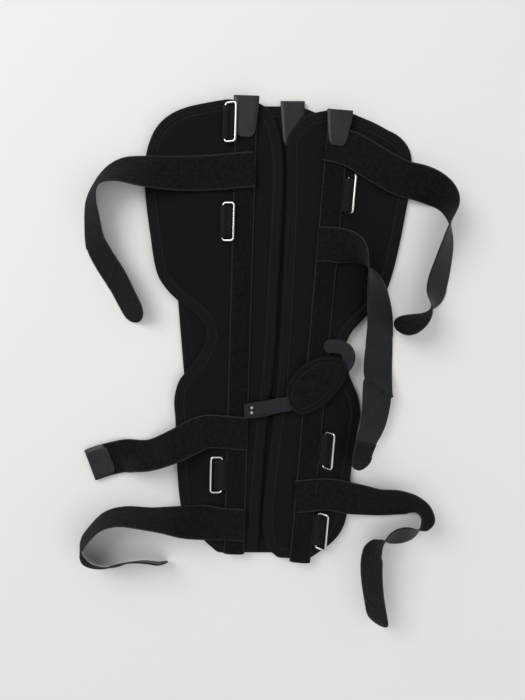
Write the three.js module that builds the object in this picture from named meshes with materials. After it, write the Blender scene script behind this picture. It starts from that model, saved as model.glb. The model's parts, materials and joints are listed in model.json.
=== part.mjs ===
// Knee immobilizer with three foam panels, lying open with its outside up.
// X runs across the brace, Y along the leg towards the thigh, Z up. Millimetres.
import * as THREE from 'three';

// Driving dimensions of the panels
const panelLength = 505;
const panelThickness = 5;
const bindingWidth = 12.7;
const leftWing = 110;
const rightWing = 87;
const leftLap = 43;
const rightLap = 55;
const backHalfWidth = 104;
const pocketWidth = 24;
const pocketHeight = 2.6;
const vinylThickness = 1.2;
const tabLength = 42;
const gap = 0.3;

// Driving dimensions of the straps and rings
const strapWidth = 38;
const strapThickness = 1.4;
const strapStep = 9;
const ringClearance = 1.4;
const wireDiameter = 2.5;
const ringWindow = 10;
const loopLength = 13;
const loopThickness = 1;
const hookTabLength = 24;

// Driving dimensions of the knee pad
const padLength = 80;
const padWidth = 47;
const padHeight = 9;
const padBindingWidth = 4.5;
const elasticWidth = 16;
const elasticThickness = 1.2;
const rivetDiameter = 3.2;
const rivetHeight = 1;
const padPlace = { x: 60, y: -86 };
const padTurn = 41;

// Lines of the pad's elastic from the middle of the pad, as shares of its length,
// with its lift over the calf strap as a share of the strap's thickness
const elasticLeft = [
  { x: -0.49, y: -0.27, lift: 0 },
  { x: -0.62, y: -0.31, lift: 0 },
  { x: -0.8, y: -0.35, lift: 1 },
  { x: -0.98, y: -0.36, lift: 1.6 },
];
const elasticRight = [
  { x: 0.1, y: 0.53, lift: 0 },
  { x: 0.22, y: 0.545, lift: 0 },
  { x: 0.33, y: 0.535, lift: 0 },
  { x: 0.41, y: 0.49, lift: 0 },
  { x: 0.445, y: 0.43, lift: 0 },
  { x: 0.45, y: 0.39, lift: 0 },
];

// Where each panel lies: the foot of its pocket line, and its lean from the Y axis in degrees
const backTabOutward = 36;
const backPlace = { x: -3, y: -284.5, lean: 0 };
const leftPlace = { x: -32.9, y: -280, lean: 1.8, outward: -1 };
const rightPlace = { x: 43, y: -290, lean: 4.6, outward: 1 };

// Cut of the side panels: reach of the wing and of the inner lap, as shares of their named widths
const sideCut = [
  { along: 0, left: 0.12, right: 0.1, leftInner: 0.6, rightInner: 0.45 },
  { along: 0.02, left: 0.27, right: 0.25, leftInner: 0.65, rightInner: 0.7 },
  { along: 0.05, left: 0.46, right: 0.43, leftInner: 0.66, rightInner: 0.79 },
  { along: 0.1, left: 0.57, right: 0.57, leftInner: 0.67, rightInner: 0.86 },
  { along: 0.2, left: 0.62, right: 0.58, leftInner: 0.71, rightInner: 0.84 },
  { along: 0.3, left: 0.645, right: 0.61, leftInner: 0.78, rightInner: 0.81 },
  { along: 0.345, left: 0.66, right: 0.635, leftInner: 0.82, rightInner: 0.79 },
  { along: 0.39, left: 0.61, right: 0.56, leftInner: 0.87, rightInner: 0.78 },
  { along: 0.43, left: 0.47, right: 0.44, leftInner: 0.9, rightInner: 0.785 },
  { along: 0.485, left: 0.345, right: 0.35, leftInner: 0.93, rightInner: 0.795 },
  { along: 0.53, left: 0.42, right: 0.42, leftInner: 0.945, rightInner: 0.81 },
  { along: 0.57, left: 0.66, right: 0.61, leftInner: 0.95, rightInner: 0.82 },
  { along: 0.62, left: 0.85, right: 0.81, leftInner: 0.96, rightInner: 0.835 },
  { along: 0.7, left: 0.93, right: 0.91, leftInner: 0.98, rightInner: 0.855 },
  { along: 0.8, left: 0.995, right: 0.97, leftInner: 1, rightInner: 0.89 },
  { along: 0.87, left: 0.995, right: 1, leftInner: 0.98, rightInner: 0.94 },
  { along: 0.93, left: 0.905, right: 0.95, leftInner: 0.86, rightInner: 0.98 },
  { along: 0.965, left: 0.75, right: 0.75, leftInner: 0.7, rightInner: 0.82 },
  { along: 0.985, left: 0.53, right: 0.38, leftInner: 0.52, rightInner: 0.66 },
  { along: 1, left: 0.2, right: 0.1, leftInner: 0.15, rightInner: 0.2 },
];

// Cut of the back panel: half its width as a share of the named half width
const backCut = [
  { along: 0, half: 0.45 },
  { along: 0.03, half: 0.63 },
  { along: 0.09, half: 0.71 },
  { along: 0.3, half: 0.79 },
  { along: 0.5, half: 0.86 },
  { along: 0.7, half: 0.93 },
  { along: 0.86, half: 1 },
  { along: 0.93, half: 0.94 },
  { along: 0.97, half: 0.78 },
  { along: 1, half: 0.4 },
];

// Thickness of the foam from the inner binding outward, as shares of the panel thickness
const foamRelief = [
  { inward: 0, thickness: 0.84 },
  { inward: 3, thickness: 1.02 },
  { inward: 9, thickness: 1.1 },
  { inward: 14, thickness: 1.02 },
  { inward: 22, thickness: 1 },
];

// Lying shape of each strap, from its sewn end: x and y as shares of its length, the lift of its
// low edge as a share of the strap width, and its roll about its own line in degrees
const straps = {
  left_thigh_strap: {
    panel: 'left', along: 0.852, length: 339,
    path: [
      { x: 0, y: 0, lift: 0, roll: 0 },
      { x: -0.12, y: -0.008, lift: 0, roll: 0 },
      { x: -0.24, y: -0.012, lift: 0, roll: 4 },
      { x: -0.35, y: -0.008, lift: 0.24, roll: 20 },
      { x: -0.42, y: 0, lift: 0.1, roll: 34 },
      { x: -0.47, y: -0.012, lift: 0, roll: 50 },
      { x: -0.51, y: -0.045, lift: 0, roll: 64 },
      { x: -0.53, y: -0.095, lift: 0, roll: 58 },
      { x: -0.53, y: -0.155, lift: 0, roll: 50 },
      { x: -0.52, y: -0.235, lift: 0, roll: 42 },
      { x: -0.49, y: -0.295, lift: 0, roll: 38 },
      { x: -0.45, y: -0.36, lift: 0, roll: 40 },
      { x: -0.42, y: -0.42, lift: 0, roll: 42 },
      { x: -0.385, y: -0.49, lift: 0, roll: 44 },
    ],
  },
  left_calf_strap: {
    panel: 'left', along: 0.275, length: 185, squareEnd: true,
    path: [
      { x: 0, y: 0, lift: 0, roll: 0 },
      { x: -0.145, y: 0.012, lift: 0, roll: 0 },
      { x: -0.261, y: 0.012, lift: 0, roll: 6 },
      { x: -0.415, y: -0.058, lift: 0, roll: 20 },
      { x: -0.579, y: -0.126, lift: 0.1, roll: 34 },
      { x: -0.695, y: -0.14, lift: 0.03, roll: 30 },
      { x: -0.763, y: -0.149, lift: 0.045, roll: 5 },
      { x: -0.835, y: -0.166, lift: 0.05, roll: 0 },
      { x: -0.903, y: -0.185, lift: 0.05, roll: 0 },
      { x: -0.961, y: -0.205, lift: 0.05, roll: 0 },
    ],
  },
  left_ankle_strap: {
    panel: 'left', along: 0.066, length: 317,
    path: [
      { x: 0, y: 0, lift: 0, roll: 0 },
      { x: -0.08, y: 0.006, lift: 0, roll: 2 },
      { x: -0.16, y: 0.018, lift: 0, roll: 24 },
      { x: -0.24, y: 0.028, lift: 0.08, roll: 52 },
      { x: -0.33, y: 0.028, lift: 0, roll: 70 },
      { x: -0.43, y: 0.038, lift: 0, roll: 76 },
      { x: -0.5, y: 0.022, lift: 0, roll: 76 },
      { x: -0.55, y: -0.022, lift: 0, roll: 76 },
      { x: -0.585, y: -0.075, lift: 0, roll: 75 },
      { x: -0.58, y: -0.122, lift: 0, roll: 74 },
      { x: -0.545, y: -0.148, lift: 0, roll: 73 },
      { x: -0.485, y: -0.152, lift: 0, roll: 74 },
      { x: -0.425, y: -0.134, lift: 0, roll: 75 },
      { x: -0.35, y: -0.13, lift: 0, roll: 76 },
      { x: -0.28, y: -0.144, lift: 0, roll: 77 },
    ],
  },
  right_thigh_strap: {
    panel: 'right', along: 0.927, length: 309,
    path: [
      { x: 0, y: 0, lift: 0, roll: 0 },
      { x: 0.082, y: -0.021, lift: 0, roll: 0 },
      { x: 0.165, y: -0.067, lift: 0, roll: 3 },
      { x: 0.257, y: -0.113, lift: 0, roll: 8 },
      { x: 0.34, y: -0.139, lift: 0.16, roll: 24 },
      { x: 0.401, y: -0.175, lift: 0, roll: 48 },
      { x: 0.43, y: -0.221, lift: 0, roll: 78 },
      { x: 0.435, y: -0.278, lift: 0, roll: 108 },
      { x: 0.431, y: -0.34, lift: 0, roll: 124 },
      { x: 0.417, y: -0.412, lift: 0, roll: 134 },
      { x: 0.402, y: -0.478, lift: 0, roll: 140 },
      { x: 0.39, y: -0.535, lift: 0, roll: 134 },
      { x: 0.365, y: -0.586, lift: 0, roll: 96 },
      { x: 0.319, y: -0.622, lift: 0, roll: 64 },
      { x: 0.257, y: -0.648, lift: 0, roll: 50 },
    ],
  },
  right_knee_strap: {
    panel: 'right', along: 0.713, length: 292,
    path: [
      { x: 0, y: 0, lift: 0, roll: 0 },
      { x: 0.058, y: -0.003, lift: 0, roll: 4 },
      { x: 0.115, y: -0.022, lift: 0, roll: 30 },
      { x: 0.158, y: -0.06, lift: 0, roll: 78 },
      { x: 0.192, y: -0.108, lift: 0, roll: 112 },
      { x: 0.214, y: -0.164, lift: 0.06, roll: 132 },
      { x: 0.228, y: -0.24, lift: 0.02, roll: 144 },
      { x: 0.238, y: -0.346, lift: 0, roll: 151 },
      { x: 0.236, y: -0.462, lift: 0, roll: 157 },
      { x: 0.229, y: -0.548, lift: 0.03, roll: 159 },
      { x: 0.223, y: -0.623, lift: 0.1, roll: 154 },
      { x: 0.211, y: -0.685, lift: 0.2, roll: 148 },
      { x: 0.188, y: -0.74, lift: 0.3, roll: 140 },
      { x: 0.171, y: -0.795, lift: 0.3, roll: 134 },
      { x: 0.166, y: -0.856, lift: 0.3, roll: 132 },
    ],
  },
  right_ankle_strap: {
    panel: 'right', along: 0.15, length: 321,
    path: [
      { x: 0, y: 0, lift: 0, roll: 0 },
      { x: 0.105, y: 0.006, lift: 0, roll: 0 },
      { x: 0.199, y: -0.01, lift: 0, roll: 4 },
      { x: 0.283, y: -0.025, lift: 0.1, roll: 20 },
      { x: 0.361, y: -0.027, lift: 0, roll: 26 },
      { x: 0.424, y: -0.038, lift: 0, roll: 44 },
      { x: 0.455, y: -0.069, lift: 0, roll: 74 },
      { x: 0.445, y: -0.108, lift: 0, roll: 108 },
      { x: 0.403, y: -0.136, lift: 0, roll: 136 },
      { x: 0.345, y: -0.149, lift: 0, roll: 134 },
      { x: 0.301, y: -0.165, lift: 0, roll: 104 },
      { x: 0.277, y: -0.199, lift: 0, roll: 72 },
      { x: 0.269, y: -0.262, lift: 0, roll: 62 },
      { x: 0.274, y: -0.335, lift: 0, roll: 61 },
      { x: 0.287, y: -0.413, lift: 0, roll: 61 },
      { x: 0.3, y: -0.481, lift: 0, roll: 60 },
    ],
  },
};

// Wire rings: place of each along its panel, place of its held bar along the loop, and the angle
// that it stands at, from 0 flat outward to 180 flat inward
const rings = {
  left_top_ring: { panel: 'left', along: 0.954, bar: 0.78, lie: 158 },
  left_thigh_ring: { panel: 'left', along: 0.746, bar: 0.78, lie: 166 },
  left_calf_ring: { panel: 'left', along: 0.18, bar: 0.3, lie: 8 },
  right_thigh_ring: { panel: 'right', along: 0.822, bar: 0.3, lie: 62 },
  right_calf_ring: { panel: 'right', along: 0.262, bar: 0.3, lie: 46 },
  right_ankle_ring: { panel: 'right', along: 0.076, bar: 0.3, lie: 34 },
};

const finishes = {
  laminate: { color: 0x1b1b1e, roughness: 0.95, metalness: 0 },
  binding: { color: 0x161618, roughness: 0.85, metalness: 0 },
  velour: { color: 0x161617, roughness: 1, metalness: 0 },
  webbing: { color: 0x202023, roughness: 0.9, metalness: 0 },
  vinyl: { color: 0x343335, roughness: 0.45, metalness: 0 },
  elastic: { color: 0x2a2a32, roughness: 0.8, metalness: 0 },
  nickel: { color: 0xd8d8d6, roughness: 0.2, metalness: 1 },
};

const radians = THREE.MathUtils.degToRad;
const brace = new THREE.Group();

// A column of a table, read smoothly at a place measured in rows
function readTable(table, column, place) {
  const last = table.length - 1;
  const index = Math.min(Math.floor(place), last - 1);
  const value = (k) => table[THREE.MathUtils.clamp(k, 0, last)][column];
  const t = place - index;
  const a = value(index - 1);
  const b = value(index);
  const c = value(index + 1);
  const d = value(index + 2);
  return 0.5 * (2 * b + (c - a) * t + (2 * a - 5 * b + 4 * c - d) * t * t
    + (3 * b - a - 3 * c + d) * t * t * t);
}

// A column of a table, read in straight lines at a value of its first column
function readAt(table, key, column, value) {
  const next = table.findIndex((row) => row[key] >= value);
  if (next === 0) return table[0][column];
  if (next < 0) return table[table.length - 1][column];
  const low = table[next - 1];
  const high = table[next];
  const share = (value - low[key]) / (high[key] - low[key]);
  return THREE.MathUtils.lerp(low[column], high[column], share);
}

// A closed skin through rings of points, as a loop or with a flat end at each side
function loft(name, finish, sections, closed = false) {
  const count = sections[0].length;
  const positions = sections.flat().flatMap((p) => [p.x, p.y, p.z]);
  const faces = [];
  const spans = closed ? sections.length : sections.length - 1;
  for (let i = 0; i < spans; i += 1) {
    const here = i * count;
    const there = ((i + 1) % sections.length) * count;
    for (let k = 0; k < count; k += 1) {
      const n = (k + 1) % count;
      faces.push(here + k, there + k, there + n, here + k, there + n, here + n);
    }
  }
  if (!closed) {
    const end = (sections.length - 1) * count;
    for (let k = 0; k < count / 2 - 1; k += 1) {
      const back = count - 1 - k;
      faces.push(k, k + 1, back, k + 1, back - 1, back);
      faces.push(end + k, end + back, end + k + 1, end + k + 1, end + back, end + back - 1);
    }
  }
  const geometry = new THREE.BufferGeometry();
  geometry.setAttribute('position', new THREE.Float32BufferAttribute(positions, 3));
  geometry.setIndex(signedVolume(positions, faces) < 0 ? faces.reverse() : faces);
  geometry.computeVertexNormals();
  const mesh = new THREE.Mesh(geometry, new THREE.MeshStandardMaterial(finishes[finish]));
  mesh.name = name;
  brace.add(mesh);
  return mesh;
}

function signedVolume(positions, faces) {
  const corner = (k) => new THREE.Vector3().fromArray(positions, 3 * k);
  let volume = 0;
  for (let f = 0; f < faces.length; f += 3) {
    volume += corner(faces[f]).dot(corner(faces[f + 1]).cross(corner(faces[f + 2]))) / 6;
  }
  return volume;
}

// A point of a panel: outward from its pocket line and up along it
function onPanel(place, outward, up) {
  const lean = radians(place.lean);
  const across = outward * (place.outward ?? 1);
  return new THREE.Vector2(
    place.x + across * Math.cos(lean) + up * Math.sin(lean),
    place.y - across * Math.sin(lean) + up * Math.cos(lean),
  );
}

function toPanel(place, x, y) {
  const lean = radians(place.lean);
  const dx = x - place.x;
  const dy = y - place.y;
  return {
    outward: (dx * Math.cos(lean) - dy * Math.sin(lean)) * (place.outward ?? 1),
    up: dx * Math.sin(lean) + dy * Math.cos(lean),
  };
}

// The side panels lie on the back panel and over its vinyl tab, and sink past its edge
function underside(x, y) {
  const at = toPanel(backPlace, x, y);
  const along = THREE.MathUtils.clamp(at.up / panelLength, 0.09, 0.86);
  const edge = backHalfWidth * readAt(backCut, 'along', 'half', along);
  const past = Math.abs(at.outward) - edge;
  const sink = THREE.MathUtils.smoothstep(past, 14, 40);
  const tabFoot = panelLength - tabLength;
  const overTab = THREE.MathUtils.smoothstep(at.up, tabFoot - 44, tabFoot - 18);
  return (panelThickness + gap + (vinylThickness + gap) * overTab) * (1 - sink);
}

const sides = {
  left: { place: leftPlace, wing: leftWing, lap: leftLap },
  right: { place: rightPlace, wing: rightWing, lap: rightLap },
};

// Both edges of a side panel at a row of its cut
function sideEdges(side, row) {
  const { wing, lap } = sides[side];
  return {
    up: readTable(sideCut, 'along', row) * panelLength,
    outer: readTable(sideCut, side, row) * wing,
    inner: -readTable(sideCut, `${side}Inner`, row) * lap,
  };
}

function backEdges(row) {
  const half = readTable(backCut, 'half', row) * backHalfWidth;
  return { up: readTable(backCut, 'along', row) * panelLength, outer: half, inner: -half };
}

// The loop of a cut: up its outer edge and down its inner one, with an outward normal at each point
function cutLoop(place, edges) {
  const outer = edges.map((edge) => onPanel(place, edge.outer, edge.up));
  const inner = edges.map((edge) => onPanel(place, edge.inner, edge.up)).reverse();
  const loop = [...outer, ...inner];
  const middle = onPanel(place, 0, panelLength / 2);
  const turn = Math.sign(outer[0].clone().sub(middle).cross(outer[1].clone().sub(middle)));
  return loop.map((point, k) => {
    const before = loop[(k + loop.length - 1) % loop.length];
    const after = loop[(k + 1) % loop.length];
    const leaving = after.clone().sub(point).normalize();
    const along = point.clone().sub(before).normalize().add(leaving).normalize();
    const mitre = 1 / Math.max(along.dot(leaving), 0.7);
    const normal = new THREE.Vector2(along.y * turn, -along.x * turn).multiplyScalar(mitre);
    return { point, normal };
  });
}

function inset(station, depth) {
  return station.point.clone().addScaledVector(station.normal, -depth);
}

// Foam field of a panel, in rows across it, inside the binding
function foam(name, loop, levels, relief, base) {
  const rows = loop.length / 2;
  const sections = [];
  for (let i = 0; i < rows; i += 1) {
    const outer = inset(loop[i], bindingWidth + 3 * gap);
    const inner = inset(loop[loop.length - 1 - i], bindingWidth + 3 * gap);
    const width = outer.distanceTo(inner);
    const places = levels.map((level) => (level > 1 ? Math.min(level / width, 0.5) : level));
    places.sort((a, b) => a - b);
    const across = places.map((share, k) => Math.max(share, k * 0.01));
    const points = across.map((share) => inner.clone().lerp(outer, share));
    const top = points.map((p, k) => {
      const thickness = panelThickness * readAt(relief, 'inward', 'thickness', across[k] * width);
      return new THREE.Vector3(p.x, p.y, base(p.x, p.y) + thickness);
    });
    const bottom = points.map((p) => new THREE.Vector3(p.x, p.y, base(p.x, p.y)));
    sections.push([...top, ...bottom.reverse()]);
  }
  return loft(name, 'laminate', sections);
}

// Tape folded over the edge of a panel, filled by the pressed foam
function binding(name, loop, base) {
  const profile = [
    { depth: 0, height: 0.32 },
    { depth: 0.14, height: 0.06 },
    { depth: 1, height: 0 },
    { depth: 1, height: 0.84 },
    { depth: 0.3, height: 0.96 },
    { depth: 0.05, height: 0.78 },
  ];
  const sections = loop.map((station) => profile.map(({ depth, height }) => {
    const p = inset(station, depth * bindingWidth);
    return new THREE.Vector3(p.x, p.y, base(p.x, p.y) + height * panelThickness);
  }));
  return loft(name, 'binding', sections, true);
}

const rowSteps = (table, parts) => Array.from(
  { length: (table.length - 1) * parts + 1 },
  (_, k) => k / parts,
);

function backPanel() {
  const loop = cutLoop(backPlace, rowSteps(backCut, 2).map(backEdges));
  const flat = [{ inward: 0, thickness: 1 }];
  foam('back_panel', loop, [0, 0.25, 0.5, 0.75, 1], flat, () => 0);
  binding('back_binding', loop, () => 0);
}

function sidePanel(side) {
  const { place } = sides[side];
  const loop = cutLoop(place, rowSteps(sideCut, 2).map((row) => sideEdges(side, row)));
  const levels = [0, 3, 9, 14, 0.52, 0.66, 0.8, 0.9, 1];
  foam(`${side}_panel`, loop, levels, foamRelief, underside);
  binding(`${side}_binding`, loop, underside);
}

// Highest foam under a point, with the swell that the inner relief may give it
function foamTop(x, y) {
  return underside(x, y) + panelThickness * 1.1;
}

// Stay pocket: a flat steel stay under a strip of loop webbing, with a crowned top
function pocket(side) {
  const { place } = sides[side];
  const half = pocketWidth / 2;
  const steps = 22;
  const sections = [];
  for (let k = 0; k <= steps; k += 1) {
    const up = panelLength * THREE.MathUtils.lerp(-0.004, 0.992, k / steps);
    const at = (outward, height) => {
      const p = onPanel(place, outward, up);
      return new THREE.Vector3(p.x, p.y, foamTop(p.x, p.y) + gap + height);
    };
    sections.push([
      at(-half, 0.6), at(-half * 0.8, pocketHeight * 0.85), at(0, pocketHeight),
      at(half * 0.8, pocketHeight * 0.85), at(half, 0.6), at(half, 0), at(0, 0), at(-half, 0),
    ]);
  }
  return loft(`${side}_pocket`, 'velour', sections);
}

const pocketTop = gap + pocketHeight;

// The right vinyl tab also covers the sewn end of the thigh strap
const tabLift = { left: 0, right: strapThickness + 2 * gap };
const padBase = foamTop(0, 0) + gap + pocketTop;

// Height of whatever lies under a point: a side panel with its pocket, or the floor
function restingHeight(x, y) {
  for (const side of Object.keys(sides)) {
    const { place, wing, lap } = sides[side];
    const at = toPanel(place, x, y);
    const along = at.up / panelLength;
    if (along > 0 && along < 1) {
      const outer = wing * readAt(sideCut, 'along', side, along);
      const inner = -lap * readAt(sideCut, 'along', `${side}Inner`, along);
      if (at.outward > inner && at.outward < outer) {
        const raised = Math.abs(at.outward) < pocketWidth / 2 + 1;
        return foamTop(x, y) + gap + (raised ? pocketTop : 0);
      }
    }
  }
  return 0;
}

// Highest rest within a short reach of a point, so that stiff webbing bridges what it crosses
function bridgedHeight(x, y, reach) {
  let height = restingHeight(x, y);
  for (let k = 0; k < 8; k += 1) {
    const angle = (k * Math.PI) / 4;
    height = Math.max(height, restingHeight(x + reach * Math.cos(angle), y + reach * Math.sin(angle)));
  }
  return height;
}

// One flat section of a strap: centre, heading in plan, roll, width and thickness
function strapSection(centre, heading, roll, width, thickness) {
  const side = new THREE.Vector3(-Math.sin(heading), Math.cos(heading), 0);
  const forward = new THREE.Vector3(Math.cos(heading), Math.sin(heading), 0);
  const across = side.clone().multiplyScalar(Math.cos(roll));
  across.z = Math.sin(roll);
  const face = forward.clone().cross(across);
  const corner = (a, f) => centre.clone()
    .addScaledVector(across, (a * width) / 2)
    .addScaledVector(face, (f * thickness) / 2);
  return [corner(-1, 1), corner(1, 1), corner(1, -1), corner(-1, -1)];
}

// Plan line of a strap, set out from its sewn end so that it measures the named length
function strapLine(strap) {
  const shares = strap.path.map((row) => new THREE.Vector2(row.x, row.y));
  const size = strap.length / new THREE.SplineCurve(shares).getLength();
  const start = onPanel(sides[strap.panel].place, 1 - pocketWidth / 2, strap.along * panelLength);
  return new THREE.SplineCurve(shares.map((p) => p.clone().multiplyScalar(size).add(start)));
}

// Where a strap is and how it is rolled, at a share of its length
function strapAt(strap, line, share) {
  const t = line.getUtoTmapping(share);
  const place = t * (strap.path.length - 1);
  const point = line.getPoint(t);
  const tangent = line.getTangent(t);
  return {
    x: point.x,
    y: point.y,
    heading: Math.atan2(tangent.y, tangent.x),
    roll: radians(readTable(strap.path, 'roll', place)),
    lift: readTable(strap.path, 'lift', place) * strapWidth,
  };
}

// Height that one crosswise line of a strap rests at
function strapRest(at, spread) {
  let rest = 0;
  for (const share of [-1, -0.5, 0, 0.5, 1]) {
    const x = at.x - Math.sin(at.heading) * spread * share;
    const y = at.y + Math.cos(at.heading) * spread * share;
    rest = Math.max(rest, bridgedHeight(x, y, strapStep + 2));
  }
  return rest;
}

// A strap with a rounded end, lying on the panels and the floor
function layStrap(name, strap) {
  const line = strapLine(strap);
  const steps = Math.round(strap.length / strapStep);
  const endRound = strapWidth * 0.4;
  const sections = [];
  for (let k = 0; k <= steps; k += 1) {
    const at = strapAt(strap, line, k / steps);
    const toEnd = strap.length * (1 - k / steps);
    const round = strap.squareEnd ? 0 : Math.max(1 - toEnd / endRound, 0);
    const width = strapWidth * Math.sqrt(1 - 0.75 * round * round);
    const rest = strapRest(at, (Math.cos(at.roll) * strapWidth) / 2);
    const half = (Math.abs(Math.sin(at.roll)) * width + Math.abs(Math.cos(at.roll)) * strapThickness) / 2;
    const centre = new THREE.Vector3(at.x, at.y, Math.max(rest, at.lift) + half);
    sections.push(strapSection(centre, at.heading, at.roll, width, strapThickness));
  }
  return loft(name, 'velour', sections);
}

// Folded hook tab over the end of the calf strap
function hookTab(name, strap) {
  const end = strapAt(strap, strapLine(strap), 1);
  const path = [
    { back: 0.4, height: 0 }, { back: 0, height: 0 }, { back: -0.08, height: 0.5 },
    { back: 0, height: 1 }, { back: 0.5, height: 1 }, { back: 0.85, height: 1 }, { back: 1, height: 1 },
  ];
  const clear = strapThickness + 4 * gap + 1.2 * vinylThickness;
  const centres = path.map(({ back, height }) => {
    const away = 1.2 * vinylThickness - back * hookTabLength;
    return new THREE.Vector3(
      end.x + Math.cos(end.heading) * away,
      end.y + Math.sin(end.heading) * away,
      vinylThickness / 2 + height * clear,
    );
  });
  const widths = path.map(({ back }) => strapWidth * (back === 1 ? 0.7 : 0.98));
  return ribbon(name, 'vinyl', centres, widths, vinylThickness);
}

// A flat strip along a bent line that keeps its cross direction level
function ribbon(name, finish, centres, widths, thickness) {
  const run = centres[centres.length - 1].clone().sub(centres[0]).setZ(0).normalize();
  const side = new THREE.Vector3(-run.y, run.x, 0);
  const sections = centres.map((centre, k) => {
    const before = centres[Math.max(k - 1, 0)];
    const after = centres[Math.min(k + 1, centres.length - 1)];
    const face = after.clone().sub(before).normalize().cross(side);
    const corner = (a, f) => centre.clone()
      .addScaledVector(side, (a * widths[k]) / 2)
      .addScaledVector(face, (f * thickness) / 2);
    return [corner(-1, 1), corner(1, 1), corner(1, -1), corner(-1, -1)];
  });
  return loft(name, finish, sections);
}

// Vinyl tab folded over the top of a stay pocket, down past the edge of its panel
function vinylTab(name, place, outward, top, base, drop) {
  const path = [
    { down: -0.14, height: -drop }, { down: -0.14, height: -0.3 * drop }, { down: -0.09, height: 0 },
    { down: 0.2, height: 0 }, { down: 0.6, height: 0 }, { down: 0.9, height: 0 }, { down: 1, height: 0 },
  ];
  const centres = path.map(({ down, height }) => {
    const p = onPanel(place, outward, top - down * tabLength);
    return new THREE.Vector3(p.x, p.y, base + vinylThickness / 2 + height);
  });
  const widths = path.map(({ down }) => (pocketWidth + 1) * (down === 1 ? 0.5 : 1));
  return ribbon(name, 'vinyl', centres, widths, vinylThickness);
}

// Foam and the top of a pocket at a place along a side panel
function panelTopAt(place, outward, along) {
  const p = onPanel(place, outward, along * panelLength);
  return foamTop(p.x, p.y) + gap;
}

// Centre of the bar that a webbing loop holds, and the frame of the loop on its panel
function ringFrame(ring) {
  const { place } = sides[ring.panel];
  const outward = pocketWidth / 2 + gap + ring.bar * loopLength;
  const p = onPanel(place, outward, ring.along * panelLength);
  const height = panelTopAt(place, outward, ring.along) + loopThickness + gap + wireDiameter / 2;
  const lean = radians(place.lean);
  return {
    centre: new THREE.Vector3(p.x, p.y, height),
    out: new THREE.Vector3(place.outward * Math.cos(lean), -place.outward * Math.sin(lean), 0),
    up: new THREE.Vector3(Math.sin(lean), Math.cos(lean), 0),
  };
}

// Bent wire ring with rounded corners, as long inside as the strap is wide
function wireRing(name, ring) {
  const { centre, out, up } = ringFrame(ring);
  const lie = radians(ring.lie);
  const reach = out.clone().multiplyScalar(Math.cos(lie));
  reach.z = Math.sin(lie);
  const normal = reach.clone().cross(up);
  const halfLong = (strapWidth + wireDiameter) / 2;
  const wide = ringWindow + wireDiameter;
  const corner = wireDiameter * 1.2;
  const steps = 3;
  const sections = [];
  for (let c = 0; c < 4; c += 1) {
    const endwise = c === 0 || c === 3 ? 1 : -1;
    const far = c < 2 ? 1 : 0;
    const cx = far ? wide - corner : corner;
    const cy = endwise * (halfLong - corner);
    for (let k = 0; k < steps; k += 1) {
      const angle = Math.PI * (0.5 - c * 0.5 - (k / (steps - 1)) * 0.5);
      const bend = new THREE.Vector2(Math.cos(angle), Math.sin(angle));
      const spot = centre.clone()
        .addScaledVector(reach, cx + corner * bend.x)
        .addScaledVector(up, cy + corner * bend.y);
      const outside = reach.clone().multiplyScalar(bend.x).addScaledVector(up, bend.y);
      const section = [];
      for (let w = 0; w < 6; w += 1) {
        const spin = (w * Math.PI) / 3;
        section.push(spot.clone()
          .addScaledVector(outside, (Math.cos(spin) * wireDiameter) / 2)
          .addScaledVector(normal, (Math.sin(spin) * wireDiameter) / 2));
      }
      sections.push(section);
    }
  }
  return loft(name, 'nickel', sections, true);
}

// Webbing loop sewn under the edge of the pocket, folded round the held bar
function webbingLoop(name, ring) {
  const { out, up, centre } = ringFrame(ring);
  const { place } = sides[ring.panel];
  const root = onPanel(place, pocketWidth / 2 + gap, ring.along * panelLength);
  const low = centre.z - wireDiameter / 2 - gap - loopThickness / 2;
  const high = centre.z + wireDiameter / 2 + gap + loopThickness / 2;
  const middle = (low + high) / 2;
  const path = [
    { out: 0.04, z: low }, { out: 0.5, z: low }, { out: 0.86, z: low }, { out: 0.98, z: middle },
    { out: 0.86, z: high }, { out: 0.5, z: high }, { out: 0.18, z: high }, { out: 0.04, z: low + loopThickness + gap },
  ];
  const half = strapWidth / 2 - ringClearance;
  const sections = path.map((step, k) => {
    const before = path[(k + path.length - 1) % path.length];
    const after = path[(k + 1) % path.length];
    const along = new THREE.Vector2((after.out - before.out) * loopLength, after.z - before.z).normalize();
    const spot = new THREE.Vector3(root.x, root.y, step.z).addScaledVector(out, step.out * loopLength);
    const corner = (a, f) => spot.clone()
      .addScaledVector(up, a * half)
      .addScaledVector(out, (-along.y * f * loopThickness) / 2)
      .add(new THREE.Vector3(0, 0, (along.x * f * loopThickness) / 2));
    return [corner(-1, 1), corner(1, 1), corner(1, -1), corner(-1, -1)];
  });
  return loft(name, 'webbing', sections, true);
}

// Almond outline of the knee pad about its middle, a little fuller at its lower left end
function padOutline(angle, shrink) {
  const point = new THREE.Vector2(
    (Math.cos(angle) * padLength) / 2 - Math.cos(angle) * shrink,
    ((Math.sin(angle) * padWidth) / 2 - Math.sin(angle) * shrink) * (1 - 0.12 * Math.cos(angle)),
  );
  return point.rotateAround(new THREE.Vector2(), radians(padTurn));
}

function padLoft(name, finish, profile, closed) {
  const steps = 24;
  const ringAt = ({ shrink, height }, angle) => {
    const p = padOutline(angle, shrink);
    return new THREE.Vector3(padPlace.x + p.x, padPlace.y + p.y, padBase + height);
  };
  const turns = Array.from({ length: steps }, (_, k) => (k * 2 * Math.PI) / steps);
  if (closed) return loft(name, finish, turns.map((angle) => profile.map((p) => ringAt(p, angle))), true);
  return loft(name, finish, profile.map((p) => turns.map((angle) => ringAt(p, angle))));
}

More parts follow.
